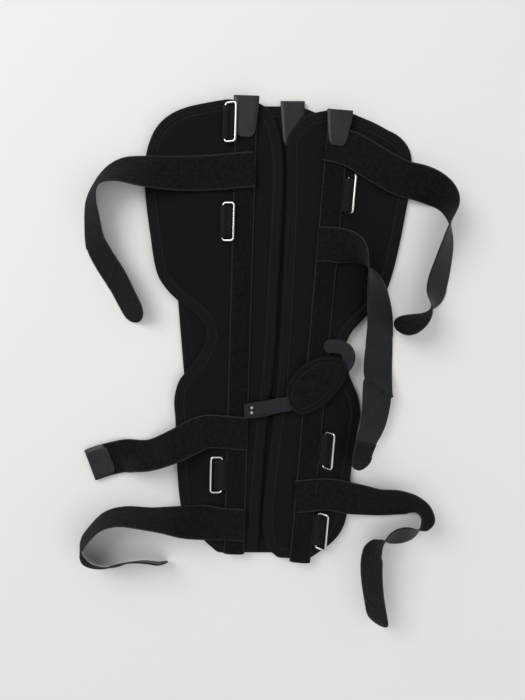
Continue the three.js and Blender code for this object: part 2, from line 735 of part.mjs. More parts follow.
function kneePad() {
  const field = padBindingWidth + gap;
  padLoft('knee_pad', 'velour', [
    { shrink: field + 2, height: 0 }, { shrink: field, height: 1 }, { shrink: field, height: padHeight * 0.4 },
    { shrink: field + 4, height: padHeight * 0.8 }, { shrink: field + 11, height: padHeight },
  ], false);
  padLoft('knee_pad_binding', 'binding', [
    { shrink: 0.4, height: 0.4 }, { shrink: 3, height: 0 }, { shrink: padBindingWidth, height: 0.3 },
    { shrink: padBindingWidth, height: padHeight * 0.45 }, { shrink: 2, height: padHeight * 0.5 },
    { shrink: 0, height: padHeight * 0.28 },
  ], true);
}

// Elastic of the knee pad, flat on the panels, with its cross direction following its line
function elastic(name, path) {
  const line = new THREE.SplineCurve(path.map((step) => new THREE.Vector2(
    padPlace.x + step.x * padLength,
    padPlace.y + step.y * padLength,
  )));
  const steps = 8;
  const sections = [];
  for (let k = 0; k <= steps; k += 1) {
    const point = line.getPoint(k / steps);
    const tangent = line.getTangent(k / steps);
    const lift = readTable(path, 'lift', ((path.length - 1) * k) / steps) * strapThickness;
    const centre = new THREE.Vector3(point.x, point.y, padBase + lift + elasticThickness / 2);
    sections.push(strapSection(centre, Math.atan2(tangent.y, tangent.x), 0, elasticWidth, elasticThickness));
  }
  return loft(name, 'elastic', sections);
}

function rivet(name, x, y) {
  const sections = [0, rivetHeight].map((height) => Array.from({ length: 10 }, (_, k) => {
    const angle = (k * Math.PI) / 5;
    return new THREE.Vector3(
      padPlace.x + x * padLength + (Math.cos(angle) * rivetDiameter) / 2,
      padPlace.y + y * padLength + (Math.sin(angle) * rivetDiameter) / 2,
      padBase + 1.6 * strapThickness + elasticThickness + gap + height,
    );
  }));
  return loft(name, 'nickel', sections);
}

backPanel();
for (const side of Object.keys(sides)) {
  sidePanel(side);
  pocket(side);
  vinylTab(`${side}_vinyl_tab`, sides[side].place, 0, panelLength - 2,
    panelTopAt(sides[side].place, 0, 0.95) + pocketHeight + 2 * gap + tabLift[side],
    panelThickness + pocketTop);
}
vinylTab('back_vinyl_tab', backPlace, backTabOutward, panelLength - 2, panelThickness + gap, panelThickness);
for (const [name, strap] of Object.entries(straps)) layStrap(name, strap);
hookTab('left_calf_hook_tab', straps.left_calf_strap);
for (const [name, ring] of Object.entries(rings)) {
  wireRing(name, ring);
  webbingLoop(`${name}_loop`, ring);
}
kneePad();
elastic('knee_pad_elastic_left', elasticLeft);
elastic('knee_pad_elastic_right', elasticRight);
rivet('knee_pad_rivet_upper', -0.9, -0.31);
rivet('knee_pad_rivet_lower', -0.9, -0.38);

// The origin is under the middle of the whole lying brace
const box = new THREE.Box3().setFromObject(brace);
const middle = box.getCenter(new THREE.Vector3());
brace.position.set(-middle.x, -middle.y, -box.min.z);
brace.updateMatrixWorld(true);

export default brace;
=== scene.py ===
# Knee immobilizer lying open with its outside up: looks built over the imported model.
import json
import math

import bmesh
import bpy
from mathutils import Matrix, Vector, noise
from mathutils.bvhtree import BVHTree


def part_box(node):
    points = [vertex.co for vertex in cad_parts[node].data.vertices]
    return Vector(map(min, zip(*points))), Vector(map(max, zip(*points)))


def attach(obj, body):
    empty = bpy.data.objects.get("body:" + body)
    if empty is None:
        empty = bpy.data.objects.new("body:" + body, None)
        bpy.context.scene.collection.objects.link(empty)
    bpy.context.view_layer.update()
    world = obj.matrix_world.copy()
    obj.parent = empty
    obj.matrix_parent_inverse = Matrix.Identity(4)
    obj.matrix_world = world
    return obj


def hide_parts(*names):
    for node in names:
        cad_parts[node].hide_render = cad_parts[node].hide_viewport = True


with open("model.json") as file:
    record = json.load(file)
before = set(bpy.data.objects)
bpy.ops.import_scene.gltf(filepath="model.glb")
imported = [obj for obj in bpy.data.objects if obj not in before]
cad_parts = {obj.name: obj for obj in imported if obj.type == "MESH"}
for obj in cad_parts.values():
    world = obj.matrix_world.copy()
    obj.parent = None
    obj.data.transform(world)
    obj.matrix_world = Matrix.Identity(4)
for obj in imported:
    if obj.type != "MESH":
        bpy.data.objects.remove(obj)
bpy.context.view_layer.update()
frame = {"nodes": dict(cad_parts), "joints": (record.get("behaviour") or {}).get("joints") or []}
mm = 0.001

panel = {
    "length": 505,
    "thickness": 5,
    "tapeWidth": 12.7,
    "wing": {"left": 110, "right": 87},
    "lap": {"left": 43, "right": 55},
    "backHalf": 104,
    "gap": 0.3,
    "vinyl": 1.2,
    "tabLength": 42,
    "foamRise": 1.1,
}
# How the side panels lie: level over the back panel between two shares of its length, sinking to the floor
# beside it, and raised over its vinyl tab (all but "along" in mm)
lieSettings = {"along": (0.09, 0.86), "sink": (14, 40), "tabRise": (44, 18)}
places = {
    "back": {"x": -3, "y": -284.5, "lean": 0, "outward": 1},
    "left": {"x": -32.9, "y": -280, "lean": 1.8, "outward": -1},
    "right": {"x": 43, "y": -290, "lean": 4.6, "outward": 1},
}
# Cut of the side panels, from the ankle to the thigh, as shares of the named widths
sideCut = {
    "along": [0, 0.02, 0.05, 0.1, 0.2, 0.3, 0.345, 0.39, 0.43, 0.485,
              0.53, 0.57, 0.62, 0.7, 0.8, 0.87, 0.93, 0.965, 0.985, 1],
    "left": [0.12, 0.27, 0.46, 0.57, 0.62, 0.645, 0.66, 0.61, 0.47, 0.345,
             0.42, 0.66, 0.85, 0.93, 0.995, 0.995, 0.905, 0.75, 0.53, 0.2],
    "right": [0.1, 0.25, 0.43, 0.57, 0.58, 0.61, 0.635, 0.56, 0.44, 0.35,
              0.42, 0.61, 0.81, 0.91, 0.97, 1, 0.95, 0.75, 0.38, 0.1],
    "leftLap": [0.6, 0.65, 0.66, 0.67, 0.71, 0.78, 0.82, 0.87, 0.9, 0.93,
                0.945, 0.95, 0.96, 0.98, 1, 0.98, 0.86, 0.7, 0.52, 0.15],
    "rightLap": [0.45, 0.7, 0.79, 0.86, 0.84, 0.81, 0.79, 0.78, 0.785, 0.795,
                 0.81, 0.82, 0.835, 0.855, 0.89, 0.94, 0.98, 0.82, 0.66, 0.2],
}
backCut = {
    "along": [0, 0.03, 0.09, 0.3, 0.5, 0.7, 0.86, 0.93, 0.97, 1],
    "half": [0.45, 0.63, 0.71, 0.79, 0.86, 0.93, 1, 0.94, 0.78, 0.4],
}
# Swell of the foam beside the inner binding: distance in mm and share of the panel thickness
foamSwell = {"inward": [0, 3, 9, 14, 22], "thickness": [0.84, 1.02, 1.1, 1.02, 1]}

backLow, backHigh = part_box("back_binding")
shiftX = (backLow.x + backHigh.x) / 2 / mm - places["back"]["x"]
shiftY = backLow.y / mm - places["back"]["y"]
brace = "brace"


def linear(hexColor):  # sRGB hex to linear
    values = [int(hexColor[k:k + 2], 16) / 255 for k in (1, 3, 5)]
    return tuple(v / 12.92 if v <= 0.04045 else ((v + 0.055) / 1.055) ** 2.4 for v in values) + (1,)


def addNode(tree, kind, inputs=None, **settings):
    node = tree.nodes.new(kind)
    for name, value in settings.items():
        setattr(node, name, value)
    for name, value in (inputs or {}).items():
        if isinstance(value, bpy.types.NodeSocket):
            tree.links.new(value, node.inputs[name])
        else:
            node.inputs[name].default_value = value
    return node


def newMaterial(name):
    material = bpy.data.materials.new(name)
    material.use_nodes = True
    material.node_tree.nodes.clear()
    return material, material.node_tree


def finishMaterial(tree, color, settings, normal=None):
    inputs = {"Base Color": color, **settings}
    if normal is not None:
        inputs["Normal"] = normal
    shader = addNode(tree, "ShaderNodeBsdfPrincipled", inputs)
    addNode(tree, "ShaderNodeOutputMaterial", {"Surface": shader.outputs["BSDF"]})


def mixColor(tree, factor, low, high):  # low and high are hex colours or sockets
    mix = addNode(tree, "ShaderNodeMix", {"Factor": factor}, data_type="RGBA")
    for socket, value in ((6, low), (7, high)):
        if isinstance(value, bpy.types.NodeSocket):
            tree.links.new(value, mix.inputs[socket])
        else:
            mix.inputs[socket].default_value = linear(value)
    return mix.outputs[2]


def stretch(tree, value, low, high):  # a band of a pattern, spread over 0 to 1
    return addNode(tree, "ShaderNodeMapRange", {"Value": value, "From Min": low, "From Max": high}).outputs[0]


def objectPoint(tree):
    return addNode(tree, "ShaderNodeTexCoord").outputs["Object"]


def stripPoint(tree):  # distance along a strip and across it, in metres
    return addNode(tree, "ShaderNodeUVMap", uv_map="strip").outputs["UV"]


def noisePattern(tree, where, size, inputs=None):  # a noise with features about size mm across
    return addNode(tree, "ShaderNodeTexNoise",
                   {"Vector": where, "Scale": 1 / (size * mm), **(inputs or {})}).outputs["Fac"]


def cellPattern(tree, where, size, **settings):
    return addNode(tree, "ShaderNodeTexVoronoi", {"Vector": where, "Scale": 1 / (size * mm)},
                   **settings).outputs["Distance"]


def calculate(tree, operation, *values):
    return addNode(tree, "ShaderNodeMath", dict(enumerate(values)), operation=operation).outputs[0]


def bumpFrom(tree, height, depth, strength):
    return addNode(tree, "ShaderNodeBump",
                   {"Height": height, "Distance": depth * mm, "Strength": strength}).outputs["Normal"]


# Nylon loop cloth, brushed and laminated to foam: a short felted nap that greys at a low angle
def brushedLaminate(settings):
    material, tree = newMaterial(settings["name"])
    where = objectPoint(tree)
    nap = noisePattern(tree, where, settings["nap"], {"Detail": 4, "Roughness": 0.7})
    drift = noisePattern(tree, where, settings["drift"], {"Detail": 2})
    color = mixColor(tree, stretch(tree, nap, 0.3, 0.7), settings["dark"], settings["light"])
    color = mixColor(tree, stretch(tree, drift, 0.35, 0.75), color, settings["drifted"])
    finishMaterial(tree, color, {"Roughness": 0.96, "Sheen Weight": settings["sheen"], "Sheen Roughness": 0.5,
                                 "Sheen Tint": linear("#c8c8d2"), "Specular IOR Level": 0.06},
                   bumpFrom(tree, nap, settings["depth"], 0.8))
    return material


# Polyester tape or webbing, shuttle woven: fine cross ribs with a thread's satin glint
def wovenTape(settings):
    material, tree = newMaterial(settings["name"])
    wave = {"Vector": stripPoint(tree), "Scale": math.tau / 20 / (settings["rib"] * mm),
            "Distortion": 0.6, "Detail": 1}
    ribs = addNode(tree, "ShaderNodeTexWave", wave, bands_direction=settings["direction"]).outputs["Fac"]
    fuzz = noisePattern(tree, objectPoint(tree), settings["fuzz"], {"Detail": 3})
    color = mixColor(tree, ribs, settings["dark"], settings["light"])
    color = mixColor(tree, stretch(tree, fuzz, 0.45, 0.8), color, settings["worn"])
    finishMaterial(tree, color, {"Roughness": settings["roughness"], "Sheen Weight": settings["sheen"],
                                 "Sheen Roughness": 0.4, "Specular IOR Level": 0.2},
                   bumpFrom(tree, calculate(tree, "ADD", ribs, fuzz), settings["depth"], 0.6))
    return material


# Knitted loop velour for hook fasteners: curled loops 1 to 2 mm across, with a firm lighter selvedge
def loopVelour(settings):
    material, tree = newMaterial(settings["name"])
    where = objectPoint(tree)
    loops = noisePattern(tree, where, settings["loop"], {"Detail": 5, "Roughness": 0.75, "Distortion": 0.8})
    clumps = cellPattern(tree, where, settings["clump"])
    color = mixColor(tree, stretch(tree, loops, 0.32, 0.68), settings["dark"], settings["light"])
    color = mixColor(tree, stretch(tree, clumps, 0.35, 0.85), color, settings["pressed"])
    across = addNode(tree, "ShaderNodeSeparateXYZ", {"Vector": stripPoint(tree)}).outputs["Y"]
    inner, outer = settings["edge"]
    edge = stretch(tree, calculate(tree, "ABSOLUTE", across), inner * mm, outer * mm)
    color = mixColor(tree, edge, color, settings["selvedge"])
    finishMaterial(tree, color, {"Roughness": 0.97, "Sheen Weight": settings["sheen"], "Sheen Roughness": 0.6,
                                 "Sheen Tint": linear("#c4c4c8"), "Specular IOR Level": 0.06},
                   bumpFrom(tree, calculate(tree, "ADD", loops, clumps), settings["depth"], 0.9))
    return material


# Calendered PVC on cloth: a fine pebbled grain with a satin shine
def coatedVinyl(settings):
    material, tree = newMaterial(settings["name"])
    where = objectPoint(tree)
    grain = cellPattern(tree, where, settings["grain"], feature="SMOOTH_F1")
    scuffs = noisePattern(tree, where, settings["scuff"], {"Detail": 4})
    color = mixColor(tree, stretch(tree, scuffs, 0.35, 0.7), settings["dark"], settings["light"])
    finishMaterial(tree, color, {"Roughness": settings["roughness"], "Specular IOR Level": 0.36},
                   bumpFrom(tree, grain, settings["depth"], 0.5))
    return material


# Two shades in fine marks: draw marks in bright nickel plate, the twist of a dull spun yarn
def markedSolid(settings, inputs, detail=2):
    material, tree = newMaterial(settings["name"])
    marks = noisePattern(tree, objectPoint(tree), settings["mark"], {"Detail": detail})
    finishMaterial(tree, mixColor(tree, marks, settings["dark"], settings["light"]), inputs)
    return material


laminate = brushedLaminate({"name": "brushedLoopLaminate", "nap": 1.6, "drift": 45, "depth": 0.35,
                            "sheen": 0.08, "dark": "#0f0f11", "light": "#1a1a1d", "drifted": "#151518"})
tape = wovenTape({"name": "foldedEdgeTape", "rib": 1.5, "direction": "X", "fuzz": 2.4, "depth": 0.12,
                  "roughness": 0.88, "sheen": 0.03, "dark": "#08080a", "light": "#0f0f11", "worn": "#131315"})
velour = loopVelour({"name": "loopVelour", "loop": 2.1, "clump": 4.2, "edge": (17.2, 18.2), "depth": 0.7,
                     "sheen": 0.08, "dark": "#080809", "light": "#1c1c1d", "pressed": "#0d0d0e",
                     "selvedge": "#2c2c2f"})
pocketLoop = loopVelour({"name": "pocketLoopTape", "loop": 2, "clump": 3.6, "edge": (10.2, 11.2),
                         "depth": 0.8, "sheen": 0.07, "dark": "#080809", "light": "#19191b",
                         "pressed": "#0c0c0d", "selvedge": "#242427"})
reverse = wovenTape({"name": "strapReverse", "rib": 1.4, "direction": "Y", "fuzz": 5, "depth": 0.06,
                     "roughness": 0.66, "sheen": 0.08, "dark": "#161618", "light": "#1e1f21",
                     "worn": "#222225"})
webbing = wovenTape({"name": "ringWebbing", "rib": 1.6, "direction": "X", "fuzz": 3, "depth": 0.15,
                     "roughness": 0.8, "sheen": 0.1, "dark": "#0c0c0d", "light": "#141416",
                     "worn": "#19191b"})
elasticCloth = wovenTape({"name": "coveredElastic", "rib": 2.2, "direction": "Y", "fuzz": 3, "depth": 0.15,
                          "roughness": 0.75, "sheen": 0.2, "dark": "#1a1a20", "light": "#24242b",
                          "worn": "#28282f"})
vinyl = coatedVinyl({"name": "coatedVinyl", "grain": 1.1, "scuff": 9, "depth": 0.12, "roughness": 0.42,
                     "dark": "#1b1b1d", "light": "#262628"})
nickel = markedSolid({"name": "nickelPlatedWire", "mark": 1.2, "dark": "#c4c2bd", "light": "#e6e4df"},
                     {"Metallic": 1, "Roughness": 0.16}, detail=3)
thread = markedSolid({"name": "polyesterThread", "mark": 0.8, "dark": "#232326", "light": "#3a3a3f"},
                     {"Roughness": 0.7, "Specular IOR Level": 0.4})
print("materials done")


def smoothRead(values, place, closed=False):  # Catmull-Rom through a column of numbers or vectors
    count = len(values)
    index = math.floor(place) if closed else min(math.floor(place), count - 2)
    t = place - index

    def at(k):
        return values[k % count] if closed else values[min(max(k, 0), count - 1)]

    a, b, c, d = at(index - 1), at(index), at(index + 1), at(index + 2)
    bend, twist = 2 * a - 5 * b + 4 * c - d, 3 * b - a - 3 * c + d
    return 0.5 * (2 * b + (c - a) * t + bend * t * t + twist * t ** 3)


def straightRead(keys, values, value):
    for k in range(1, len(keys)):
        if value <= keys[k]:
            share = max((value - keys[k - 1]) / (keys[k] - keys[k - 1]), 0)
            return values[k - 1] + (values[k] - values[k - 1]) * share
    return values[-1]


def smoothStep(value, low, high):
    t = min(max((value - low) / (high - low), 0), 1)
    return t * t * (3 - 2 * t)


def onPanel(side, outward, up):  # a plan point in mm, outward from the pocket line and up along it
    place = places[side]
    lean = math.radians(place["lean"])
    across = outward * place["outward"]
    return Vector((shiftX + place["x"] + across * math.cos(lean) + up * math.sin(lean),
                   shiftY + place["y"] - across * math.sin(lean) + up * math.cos(lean)))


def toPanel(side, point):
    place = places[side]
    lean = math.radians(place["lean"])
    dx, dy = point.x - shiftX - place["x"], point.y - shiftY - place["y"]
    return ((dx * math.cos(lean) - dy * math.sin(lean)) * place["outward"],
            dx * math.sin(lean) + dy * math.cos(lean))


def underside(point):  # height in mm of the side panels' lower face, as they lie over the back panel
    outward, up = toPanel("back", point)
    along = min(max(up / panel["length"], lieSettings["along"][0]), lieSettings["along"][1])
    edge = panel["backHalf"] * straightRead(backCut["along"], backCut["half"], along)
    sink = smoothStep(abs(outward) - edge, *lieSettings["sink"])
    foot = panel["length"] - panel["tabLength"]
    overTab = smoothStep(up, foot - lieSettings["tabRise"][0], foot - lieSettings["tabRise"][1])
    return (panel["thickness"] + panel["gap"] + (panel["vinyl"] + panel["gap"]) * overTab) * (1 - sink)


def floorOf(side):
    return underside if side != "back" else lambda point: 0


def foamTop(point):
    return underside(point) + panel["thickness"] * panel["foamRise"]


def cutStations(side):  # plan points round a panel's cut, each with its outward normal
    table = backCut if side == "back" else sideCut
    rows = [k / 2 for k in range(2 * (len(table["along"]) - 1) + 1)]
    outer, inner = [], []
    for row in rows:
        up = smoothRead(table["along"], row) * panel["length"]
        if side == "back":
            reach = smoothRead(table["half"], row) * panel["backHalf"]
            lap = reach
        else:
            reach = smoothRead(table[side], row) * panel["wing"][side]
            lap = smoothRead(table[side + "Lap"], row) * panel["lap"][side]
        outer.append(onPanel(side, reach, up))
        inner.append(onPanel(side, -lap, up))
    across = (0.25, 0.5, 0.75)
    top = [outer[-1].lerp(inner[-1], share) for share in across]
    foot = [inner[0].lerp(outer[0], share) for share in across]
    loop = outer + top + inner[::-1] + foot
    turn = 1 if places[side]["outward"] > 0 else -1
    stations = []
    for k, point in enumerate(loop):
        leaving = (loop[(k + 1) % len(loop)] - point).normalized()
        along = ((point - loop[k - 1]).normalized() + leaving).normalized()
        mitre = 1 / max(along.dot(leaving), 0.7)
        stations.append((point, Vector((along.y, -along.x)) * turn * mitre))
    return stations


def insetLoop(stations, depth):
    return [point - normal * depth for point, normal in stations]


def camel(node):  # the name of a piece, from its node's
    first, *others = node.split("_")
    return first + "".join(word.title() for word in others)


def newPiece(name, bm, materials, smooth=True):
    mesh = bpy.data.meshes.new(name)
    for face in bm.faces:
        face.smooth = smooth
    bm.to_mesh(mesh)
    bm.free()
    piece = bpy.data.objects.new(name, mesh)
    bpy.context.scene.collection.objects.link(piece)
    for material in materials:
        mesh.materials.append(material)
    return piece


def settle(piece, slot, *nodes, body=brace):
    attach(piece, body)
    if nodes:
        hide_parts(*nodes)


def gridMesh(columns, rows):  # a flat grid, ready to be laid
    bm = bmesh.new()
    bmesh.ops.create_grid(bm, x_segments=columns, y_segments=rows, size=0.5)
    return bm


def layGrid(bm, place, stripUv):  # each grid point goes to place(s, t), with s and t from 0 to 1
    strip = bm.loops.layers.uv.new("strip")
    for face in bm.faces:
        for loop in face.loops:
            s, t = loop.vert.co.x + 0.5, loop.vert.co.y + 0.5
            loop[strip].uv = stripUv(s, t)
    for vert in bm.verts:
        vert.co = place(vert.co.x + 0.5, vert.co.y + 0.5)


def closeMesh(bm, weld=1e-6, fill=False):
    bmesh.ops.remove_doubles(bm, verts=bm.verts[:], dist=weld)
    if fill:
        bmesh.ops.holes_fill(bm, edges=[edge for edge in bm.edges if edge.is_boundary], sides=0)
    bmesh.ops.recalc_face_normals(bm, faces=bm.faces[:])


# A band along a line of frames, from a section of (across, height). Each frame has a centre, a side and a
# face direction, the distance travelled and perhaps a share of the width
def sweepBand(name, frames, section, materials, faceMaterial=None, closed=False, relief=None):
    count, steps = len(section), len(frames) - (0 if closed else 1)
    bm = gridMesh(steps, count)

    def pick(s, t):
        k, j = round(s * steps), round(t * count)
        return frames[k % len(frames)], section[j % count], k

    def place(s, t):
        at, (across, height), k = pick(s, t)
        lift = height + (relief(at["travel"] / mm, across) if relief else 0)
        return at["centre"] + (at["side"] * across * at.get("width", 1) + at["face"] * lift) * mm

    def stripUv(s, t):
        at, (across, height), k = pick(s, t)
        wholeWay = frames[-1]["travel"] + frames[1]["travel"]
        return (wholeWay if k == len(frames) else at["travel"]), across * mm

    if faceMaterial:
        for face in bm.faces:
            face.material_index = faceMaterial(int((face.calc_center_median().y + 0.5) * count))
    layGrid(bm, place, stripUv)
    closeMesh(bm, fill=not closed)
    return newPiece(name, bm, materials)


def heading(frames, k):  # from the frame before to the one after
    return frames[min(k + 1, len(frames) - 1)]["centre"] - frames[max(k - 1, 0)]["centre"]


def withTravel(frames):  # the distance travelled, noted in each frame
    travelled = 0
    for k, at in enumerate(frames):
        if k:
            travelled += (at["centre"] - frames[k - 1]["centre"]).length
        at["travel"] = travelled
    return frames


panelSeams, padSeams, tabSeams = [], [], []

# Foam field of each panel
foamSettings = {"tuck": 1.6, "columns": 44, "perRow": 4, "bridge": 3, "endRise": 0.6, "rim": 0.8, "rimRun": 6,
                "wave": 0.45, "waveSize": 60, "waveRun": (2, 14), "seamAt": 13, "seamWidth": 1.6,
                "seamDip": 0.55, "foot": 0.2, "fill": 0.9}


def foamField(side, node, piece):
    inset = insetLoop(cutStations(side), panel["tapeWidth"] - foamSettings["tuck"])
    bridge = foamSettings["bridge"]
    rows = len(inset) // 2 - bridge
    outer, inner = inset[:rows], inset[rows + bridge:2 * rows + bridge][::-1]
    low = floorOf(side)
    steps = (rows - 1) * foamSettings["perRow"]
    bm = gridMesh(foamSettings["columns"], steps)

    def plan(s, t):
        row = t * (rows - 1)
        a, b = smoothRead(inner, row), smoothRead(outer, row)
        share = 0.5 - 0.5 * math.cos(math.pi * s)
        return share, (b - a).length, a.lerp(b, share)

    def place(s, t):
        share, width, p = plan(s, t)
        swell = 1
        if side != "back":
            swell = straightRead(foamSwell["inward"], foamSwell["thickness"], share * width)
        ends = min(t, 1 - t) * panel["length"] * foamSettings["endRise"]
        rim = min((1 - share) * width, share * width + 2, ends)
        rise = smoothStep(rim, 0, foamSettings["rimRun"])
        thickness = panel["thickness"] * swell * (foamSettings["rim"] + (1 - foamSettings["rim"]) * rise)
        wave = noise.noise(Vector((p.x, p.y, 3)) / foamSettings["waveSize"]) * foamSettings["wave"]
        if side != "back":
            outward = abs(toPanel(side, p)[0])
            off = (outward - foamSettings["seamAt"]) / foamSettings["seamWidth"]
            thickness -= foamSettings["seamDip"] * math.exp(-off ** 2)
        thickness += wave * smoothStep(rim, *foamSettings["waveRun"])
        return Vector((p.x, p.y, low(p) + thickness)) * mm

    def stripUv(s, t):
        share, width, p = plan(s, t)
        return p.x * mm, p.y * mm

    layGrid(bm, place, stripUv)
    skirt = bmesh.ops.extrude_face_region(bm, geom=bm.faces[:], use_keep_orig=True)
    for vert in [item for item in skirt["geom"] if isinstance(item, bmesh.types.BMVert)]:
        vert.co.z = low(Vector((vert.co.x, vert.co.y)) / mm) * mm + foamSettings["foot"] * mm
    bmesh.ops.recalc_face_normals(bm, faces=bm.faces[:])
    field = newPiece(piece, bm, [laminate])
    settle(field, "laminate", node)


# Tape folded over each panel's edge: (depth, height) round its section, as shares of the tape's width and
# the panel's thickness
tapeSettings = {
    "section": [(0, 0.42), (0.015, 0.22), (0.06, 0.09), (0.14, 0.03), (0.5, 0), (1, 0), (1.02, 0.5),
                (1.02, 0.8), (0.98, 0.87), (0.92, 0.85), (0.86, 0.78), (0.8, 0.9), (0.7, 1), (0.6, 1.01),
                (0.52, 0.9), (0.46, 0.87), (0.4, 0.97), (0.28, 0.97), (0.15, 0.9), (0.06, 0.76),
                (0.015, 0.6)],
    "perStation": 4, "ripple": 0.05, "rippleLength": 13, "stitchDepth": 0.86, "stitchHeight": 0.8,
}


def edgeTape(side, node, piece):
    stations = cutStations(side)
    low = floorOf(side)
    depths = [depth for depth, height in tapeSettings["section"]]
    loops = {depth: insetLoop(stations, depth * panel["tapeWidth"]) for depth in depths}
    count, steps = len(tapeSettings["section"]), len(stations) * tapeSettings["perStation"]
    bm = gridMesh(steps, count)
    edgeLine = [smoothRead(loops[0], k / tapeSettings["perStation"], closed=True) for k in range(steps)]
    travel = [0]
    for k in range(steps):
        travel.append(travel[-1] + (edgeLine[(k + 1) % steps] - edgeLine[k]).length)

    def top(depth, height, k):
        p = smoothRead(loops[depth], (k % steps) / tapeSettings["perStation"], closed=True)
        ripple = noise.noise(Vector((travel[k % steps] / tapeSettings["rippleLength"], depth * 3, len(node))))
        lift = height * (1 + tapeSettings["ripple"] * ripple * (2 if depth > 0.5 else 1))
        return Vector((p.x, p.y, low(p) + lift * panel["thickness"])) * mm

    def place(s, t):
        depth, height = tapeSettings["section"][round(t * count) % count]
        return top(depth, height, round(s * steps))

    def stripUv(s, t):
        return travel[round(s * steps)] * mm, round(t * count) / count * 2 * panel["tapeWidth"] * mm

    layGrid(bm, place, stripUv)
    closeMesh(bm)
    settle(newPiece(piece, bm, [tape]), "binding", node)
    seam = [top(tapeSettings["stitchDepth"], tapeSettings["stitchHeight"], k) for k in range(steps)]
    panelSeams.append(seam + seam[:1])


for side in ("back", "left", "right"):
    foamField(side, side + "_panel", side + "FoamPanel")
    edgeTape(side, side + "_binding", side + "EdgeTape")
print("panels done")

# Stay pockets: loop tape over a flat steel stay
pocketSettings = {
    "steps": 120, "from": -0.004, "to": 0.992, "nudge": 0.25, "nudgeLength": 40,
    "section": [(-12, -0.2), (-12, 0.45), (-11.4, 0.75), (-10.9, 0.7), (-10.2, 1.2), (-9, 1.95), (-7, 2.3),
                (-4, 2.5), (0, 2.6), (4, 2.5), (7, 2.3), (9, 1.95), (10.2, 1.2), (10.9, 0.7), (11.4, 0.75),
                (12, 0.45), (12, -0.2)],
    "stitchAt": 10.9, "stitchHeight": 0.85, "stitchSteps": 240, "sewFrom": 0.002, "sewSpan": 0.985,
    "overStrap": 1.5, "overRun": 3,
}
strapPlaces = {"left": [0.852, 0.275, 0.066], "right": [0.927, 0.713, 0.15]}
strapWidth, strapThickness = 38, 1.4


def pocketFrames(side):
    frames = []
    for k in range(pocketSettings["steps"] + 1):
        low, high = pocketSettings["from"], pocketSettings["to"]
        up = (low + (high - low) * k / pocketSettings["steps"]) * panel["length"]
        p = onPanel(side, 0, up)
        ahead = onPanel(side, 0, up + 1) - p
        nudge = noise.noise(Vector((up / pocketSettings["nudgeLength"], 7, places[side]["x"])))
        height = foamTop(p) + panel["gap"] + nudge * pocketSettings["nudge"]
        frames.append({"centre": Vector((p.x, p.y, height)) * mm,
                       "side": Vector((ahead.y, -ahead.x, 0)).normalized() * places[side]["outward"],
                       "face": Vector((0, 0, 1))})
    return withTravel(frames)


def pocketStitches(side, edge):
    line = []
    for k in range(pocketSettings["stitchSteps"] + 1):
        share = pocketSettings["sewFrom"] + pocketSettings["sewSpan"] * k / pocketSettings["stitchSteps"]
        up = panel["length"] * share
        p = onPanel(side, edge * pocketSettings["stitchAt"], up)
        height = foamTop(p) + panel["gap"] + pocketSettings["stitchHeight"]
        for along in strapPlaces[side]:
            off = abs(up - along * panel["length"])
            over = 1 - smoothStep(off, strapWidth / 2, strapWidth / 2 + pocketSettings["overRun"])
            height += over * (strapThickness + pocketSettings["overStrap"])
        line.append(Vector((p.x, p.y, height)) * mm)
    return line


for side in ("left", "right"):
    strip = sweepBand(side + "StayPocket", pocketFrames(side), pocketSettings["section"], [pocketLoop])
    settle(strip, "velour", side + "_pocket")
    for edge in (-1, 1):
        panelSeams.append(pocketStitches(side, edge))
print("stay pockets done")


# The frame's own solid of a flat strip, walked from its sewn end as one frame for each section
def walkStrip(node, sewn, thickness, narrowest):
    bm = bmesh.new()
    bm.from_mesh(frame["nodes"][node].data)
    bmesh.ops.remove_doubles(bm, verts=bm.verts[:], dist=1e-6)
    caps = []
    for face in bm.faces:
        lengths = sorted(edge.calc_length() for edge in face.edges)
        if abs(lengths[0] / mm - thickness) < 0.2 * thickness and lengths[1] / mm > narrowest:
            caps.append(face)
    first = min(caps, key=lambda face: (face.calc_center_median() - sewn).length)
    layer = set(first.verts)
    for face in caps:
        if len(layer & set(face.verts)) == 2:
            layer |= set(face.verts)
    seen, sections = set(), []
    while layer:
        sections.append([vert.co.copy() for vert in layer])
        seen |= layer
        layer = {edge.other_vert(vert) for vert in layer for edge in vert.link_edges} - seen
    bm.free()
    frames = []
    for corners in sections:
        a = corners[0]
        mate = min(corners[1:], key=lambda co: (co - a).length)
        pairs = [[a, mate], [co for co in corners if co is not a and co is not mate]]
        middles = [(pair[0] + pair[1]) / 2 for pair in pairs]
        frames.append({"centre": (middles[0] + middles[1]) / 2, "middles": middles})
    for k, at in enumerate(frames):
        ahead = heading(frames, k)
        m, n = at["middles"]
        if k == 0:
            leftFirst = (m - n).dot(Vector((-ahead.y, ahead.x, 0))) > 0
        else:
            before = frames[k - 1]["left"]
            leftFirst = (m - before).length < (n - before).length
        at["left"], at["right"] = (m, n) if leftFirst else (n, m)
        at["side"] = (at["left"] - at["right"]).normalized()
        at["face"] = ahead.cross(at["side"]).normalized()
        at["width"] = (at["left"] - at["right"]).length
    return frames


refineSettings = {"parts": 6, "halfStrip": 0.7, "offFloor": 0.1, "narrowest": 0.14}


